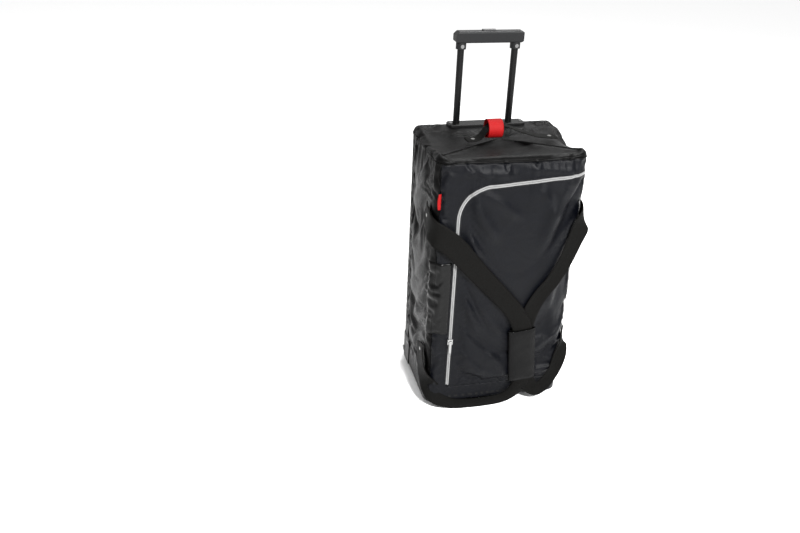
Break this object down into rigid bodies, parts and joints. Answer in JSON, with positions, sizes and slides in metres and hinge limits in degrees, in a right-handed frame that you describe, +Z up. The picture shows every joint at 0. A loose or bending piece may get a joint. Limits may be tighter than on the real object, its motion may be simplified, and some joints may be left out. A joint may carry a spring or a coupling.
{
  "type": "wheeled travel bag",
  "caption": "Upright soft travel bag on wheels with a telescopic handle, a zipped front flap, webbing carry straps in a padded wrap and a top grab handle.",
  "frame": {"origin": "on the floor under the middle of the standing bag", "axes": "+Z up, -Y the front with the flap, +Y the back with the wheels and the telescopic handle, +X the bag's right as seen from the front"},
  "size_m": [0.3717, 0.2915, 0.885],
  "materials": {
    "flap_fabric": "woven polyester, faint sheen",
    "shell_fabric": "coated woven polyester",
    "lining_fabric": "plain lining",
    "webbing": "matte webbing",
    "wrap_fabric": "padded fabric",
    "red_webbing": "woven tape",
    "zip_silver": "silver coil",
    "zip_metal": "cast and plated",
    "rivet_metal": "plated",
    "screw_metal": "zinc plated",
    "axle_metal": "turned",
    "tube_metal": "black anodised, satin",
    "sleeve_metal": "plain",
    "grip_plastic": "fine texture",
    "button_plastic": "smooth",
    "base_plastic": "moulded, fine grain",
    "board_plastic": "sheet",
    "rim_plastic": "moulded",
    "tyre_rubber": "solid",
    "foot_rubber": "moulded",
    "bush_metal": "plain bush",
    "patch_vinyl": "glossy",
    "piping_vinyl": "satin",
    "lock_plastic": "natural"
  },
  "bodies": {
    "bag": {"axle_left": "axle_metal", "axle_right": "axle_metal", "back_board": "board_plastic", "back_panel": "shell_fabric", "base_board": "board_plastic", "base_tray": "base_plastic", "bezel_screws": "screw_metal", "carry_strap_left": "webbing", "carry_strap_right": "webbing", "foot_screws": "screw_metal", "front_feet": "foot_rubber", "front_frame": "flap_fabric", "front_patch": "patch_vinyl", "grab_rivets": "rivet_metal", "grab_strap": "webbing", "handle_bezel": "base_plastic", "housing_screws_left": "screw_metal", "housing_screws_right": "screw_metal", "lining_panel": "lining_fabric", "outer_tube_left": "sleeve_metal", "outer_tube_right": "sleeve_metal", "rear_piping": "piping_vinyl", "seam_tag": "red_webbing", "side_panel_left": "shell_fabric", "side_panel_right": "shell_fabric", "strap_rivets": "rivet_metal", "top_panel": "shell_fabric", "tube_foot": "base_plastic", "tube_foot_screws": "screw_metal", "wheel_housing_left": "base_plastic", "wheel_housing_right": "base_plastic", "wrap_grip": "wrap_fabric", "zip_teeth_frame": "zip_silver"},
    "flap": {"flap": "flap_fabric", "zip_teeth_flap": "zip_silver"},
    "handle": {"inner_tube_left": "tube_metal", "inner_tube_right": "tube_metal", "lock_plug_left": "lock_plastic", "lock_plug_right": "lock_plastic", "grip_body": "grip_plastic", "grip_cover": "grip_plastic", "grip_screws": "screw_metal", "return_spring": "screw_metal"},
    "release": {"release_button": "button_plastic", "release_bar": "lock_plastic", "release_rods": "screw_metal"},
    "lock_left": {"lock_pin_left": "screw_metal"},
    "lock_right": {"lock_pin_right": "screw_metal"},
    "wheel_left": {"wheel_tyre_left": "tyre_rubber", "wheel_rim_left": "rim_plastic", "wheel_bush_left": "bush_metal"},
    "wheel_right": {"wheel_tyre_right": "tyre_rubber", "wheel_rim_right": "rim_plastic", "wheel_bush_right": "bush_metal"},
    "zip_slider": {"zip_slider": "zip_metal"},
    "zip_pull": {"zip_pull": "zip_metal"},
    "grab_cuff": {"grab_cuff": "red_webbing"}
  },
  "joints": [
    {"name": "handle_slide", "type": "slide", "parent": "bag", "child": "handle", "axis": [0, 0, 1], "range_m": [-0.171, 0.16]},
    {"name": "release_press", "type": "slide", "parent": "handle", "child": "release", "axis": [0, 0, 1], "range_m": [-0.003, 0], "stiffness_N_per_m": 1500, "springref_m": 0.002, "deforming": ["return_spring"]},
    {"name": "lock_pin_left_slide", "type": "slide", "parent": "handle", "child": "lock_left", "axis": [1, 0, 0], "range_m": [0, 0.003]},
    {"name": "lock_pin_right_slide", "type": "slide", "parent": "handle", "child": "lock_right", "axis": [-1, 0, 0], "range_m": [0, 0.003]},
    {"name": "wheel_left_spin", "type": "hinge", "parent": "bag", "child": "wheel_left", "pos_m": [-0.15, 0.108, 0.038], "axis": [1, 0, 0], "continuous": true},
    {"name": "wheel_right_spin", "type": "hinge", "parent": "bag", "child": "wheel_right", "pos_m": [0.15, 0.108, 0.038], "axis": [1, 0, 0], "continuous": true},
    {"name": "flap_hinge", "type": "hinge", "parent": "bag", "child": "flap", "pos_m": [0, -0.1225, 0.062], "axis": [1, 0, 0], "range_deg": [0, 95], "deforming": ["carry_strap_left", "carry_strap_right", "wrap_grip"]},
    {"name": "zip_travel", "type": "slide", "parent": "bag", "child": "zip_slider", "axis": [0, 0, 1], "range_m": [-0.1, 0.308]},
    {"name": "pull_swing", "type": "hinge", "parent": "zip_slider", "child": "zip_pull", "pos_m": [-0.122, -0.129, 0.196], "axis": [-1, 0, 0], "range_deg": [0, 150]},
    {"name": "grab_lift", "type": "slide", "parent": "bag", "child": "grab_cuff", "axis": [0, 0, 1], "range_m": [-0.005, 0.014], "deforming": ["grab_strap"]}
  ],
  "couplings": [
    {"joint": "lock_pin_left_slide", "follows": "release_press", "ratio": -1},
    {"joint": "lock_pin_right_slide", "follows": "release_press", "ratio": -1}
  ]
}
